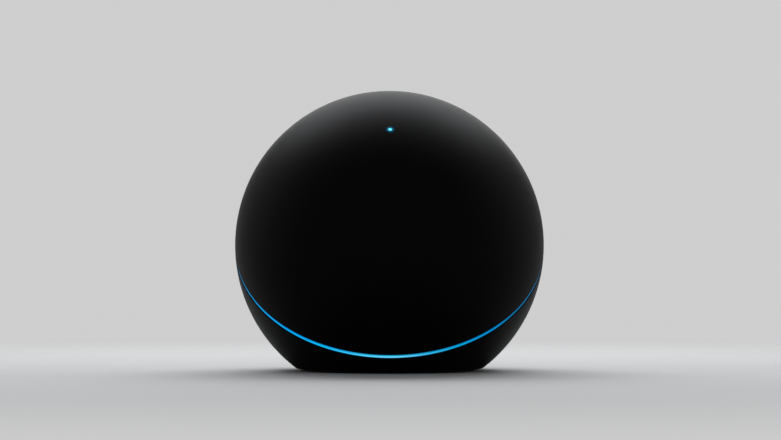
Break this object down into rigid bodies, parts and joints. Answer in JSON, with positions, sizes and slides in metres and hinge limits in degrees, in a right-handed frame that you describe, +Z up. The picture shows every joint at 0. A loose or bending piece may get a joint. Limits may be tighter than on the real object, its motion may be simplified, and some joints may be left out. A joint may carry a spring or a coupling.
{
  "type": "smart speaker amplifier",
  "caption": "Ball-shaped smart speaker amplifier: a matte black dome turns on a tilted glowing seam over a fixed base with a recessed socket panel at the back.",
  "frame": {"origin": "on the surface it stands on, straight under the ball's centre", "axes": "+Z up, -Y to the front where the glowing seam is lowest, +X to the right seen from the front; the dome turns about an axis that leans 45 degrees forwards from +Z"},
  "size_m": [0.116, 0.114, 0.1051],
  "materials": {
    "soft_touch_black": "soft-touch rubberised coat, very matte, faint fine grain",
    "base_coat": "die-cast zinc alloy with a matte black powder coat",
    "ring_diffuser": "frosted polycarbonate lit from inside, cyan blue",
    "window_clear": "clear polycarbonate plug lit from below, cyan",
    "foot_rubber": "matte black silicone rubber",
    "bare_aluminium": "die-cast and machined, satin",
    "black_anodised": "black anodised, satin",
    "bearing_steel": "ground bearing steel, polished",
    "screw_steel": "zinc-plated steel, satin",
    "black_screw": "steel, black oxide",
    "ferrite": "sintered ferrite, dark grey, matte",
    "cage_nylon": "natural nylon",
    "board_black": "glass-fibre board, dark solder mask, satin",
    "led_package": "white LED package with a clear face",
    "chip_black": "black epoxy chip package, fine matte",
    "cap_plastic": "dark grey ABS, fine texture",
    "electrode_copper": "bare copper, satin",
    "shield_tin": "tin-plated sheet, satin",
    "flat_cable": "flat flex cable, white film",
    "lead_insulation": "PVC lead insulation, satin",
    "capacitor_sleeve": "shrink sleeve over an aluminium can",
    "fuse_ceramic": "ceramic tube",
    "panel_plastic": "moulded black plastic, fine spark-eroded texture",
    "inlet_plastic": "black thermoset, half gloss",
    "pin_brass": "nickel-plated brass, polished",
    "socket_red": "red nylon, half gloss",
    "socket_black": "black nylon, half gloss",
    "contact_gold": "gold-plated brass, polished",
    "shield_nickel": "nickel-plated sheet, satin",
    "insert_black": "black moulded nylon, fine matte",
    "shutter_black": "dark moulded flap"
  },
  "bodies": {
    "base": {"base_shell": "base_coat", "light_ring": "ring_diffuser", "foot_pad": "foot_rubber", "bearing_chassis": "bare_aluminium", "race_clamp_ring": "bare_aluminium", "amplifier_heat_sink": "black_anodised", "bearing_inner_race": "bearing_steel", "chassis_screws": "screw_steel", "clamp_screws": "screw_steel", "cap_screws": "screw_steel", "main_board_screws": "screw_steel", "power_board_screws": "screw_steel", "socket_board_screws": "screw_steel", "panel_screws": "black_screw", "transformer_core": "ferrite", "mains_choke": "ferrite", "output_inductors": "ferrite", "led_ring_board": "board_black", "touch_board": "board_black", "main_board": "board_black", "power_board": "board_black", "socket_board": "board_black", "ring_leds": "led_package", "mute_led": "led_package", "hall_sensors": "chip_black", "processor": "chip_black", "memory_chips": "chip_black", "amplifier_chips": "chip_black", "sensor_cap": "cap_plastic", "touch_electrode": "electrode_copper", "wifi_antenna": "electrode_copper", "transformer_winding": "electrode_copper", "radio_shield_can": "shield_tin", "touch_cable": "flat_cable", "led_ring_cable": "flat_cable", "power_harness": "lead_insulation", "power_capacitors": "capacitor_sleeve", "mains_fuse": "fuse_ceramic", "rear_panel": "panel_plastic", "mains_inlet": "inlet_plastic", "mains_pins": "pin_brass", "speaker_sockets_red": "socket_red", "speaker_sockets_black": "socket_black", "speaker_socket_contacts": "contact_gold", "ethernet_contacts": "contact_gold", "ethernet_shield": "shield_nickel", "hdmi_shell": "shield_nickel", "ethernet_insert": "insert_black", "hdmi_tongue": "insert_black", "optical_housing": "insert_black"},
    "dome": {"dome_shell": "soft_touch_black", "mute_light_window": "window_clear", "dome_carrier": "bare_aluminium", "carrier_screws": "screw_steel", "race_retaining_ring": "bearing_steel", "encoder_magnet_ring": "ferrite", "bearing_outer_race": "bearing_steel"},
    "bearing_cage": {"bearing_cage": "cage_nylon", "bearing_balls": "bearing_steel"},
    "optical_shutter": {"optical_shutter": "shutter_black"}
  },
  "joints": [
    {"name": "dome_turn", "type": "hinge", "parent": "base", "child": "dome", "pos_m": [0, 0, 0.0471], "axis": [0, -0.7071, 0.7071], "continuous": true},
    {"name": "cage_turn", "type": "hinge", "parent": "base", "child": "bearing_cage", "pos_m": [0, 0, 0.0471], "axis": [0, -0.7071, 0.7071], "continuous": true},
    {"name": "shutter_swing", "type": "hinge", "parent": "base", "child": "optical_shutter", "pos_m": [-0.0158, 0.0444, 0.04145], "axis": [-1, 0, 0], "range_deg": [0, 75], "stiffness_Nm_per_rad": 0.00001, "springref_deg": -17.19}
  ],
  "couplings": [
    {"joint": "cage_turn", "follows": "dome_turn", "ratio": 0.51705}
  ]
}
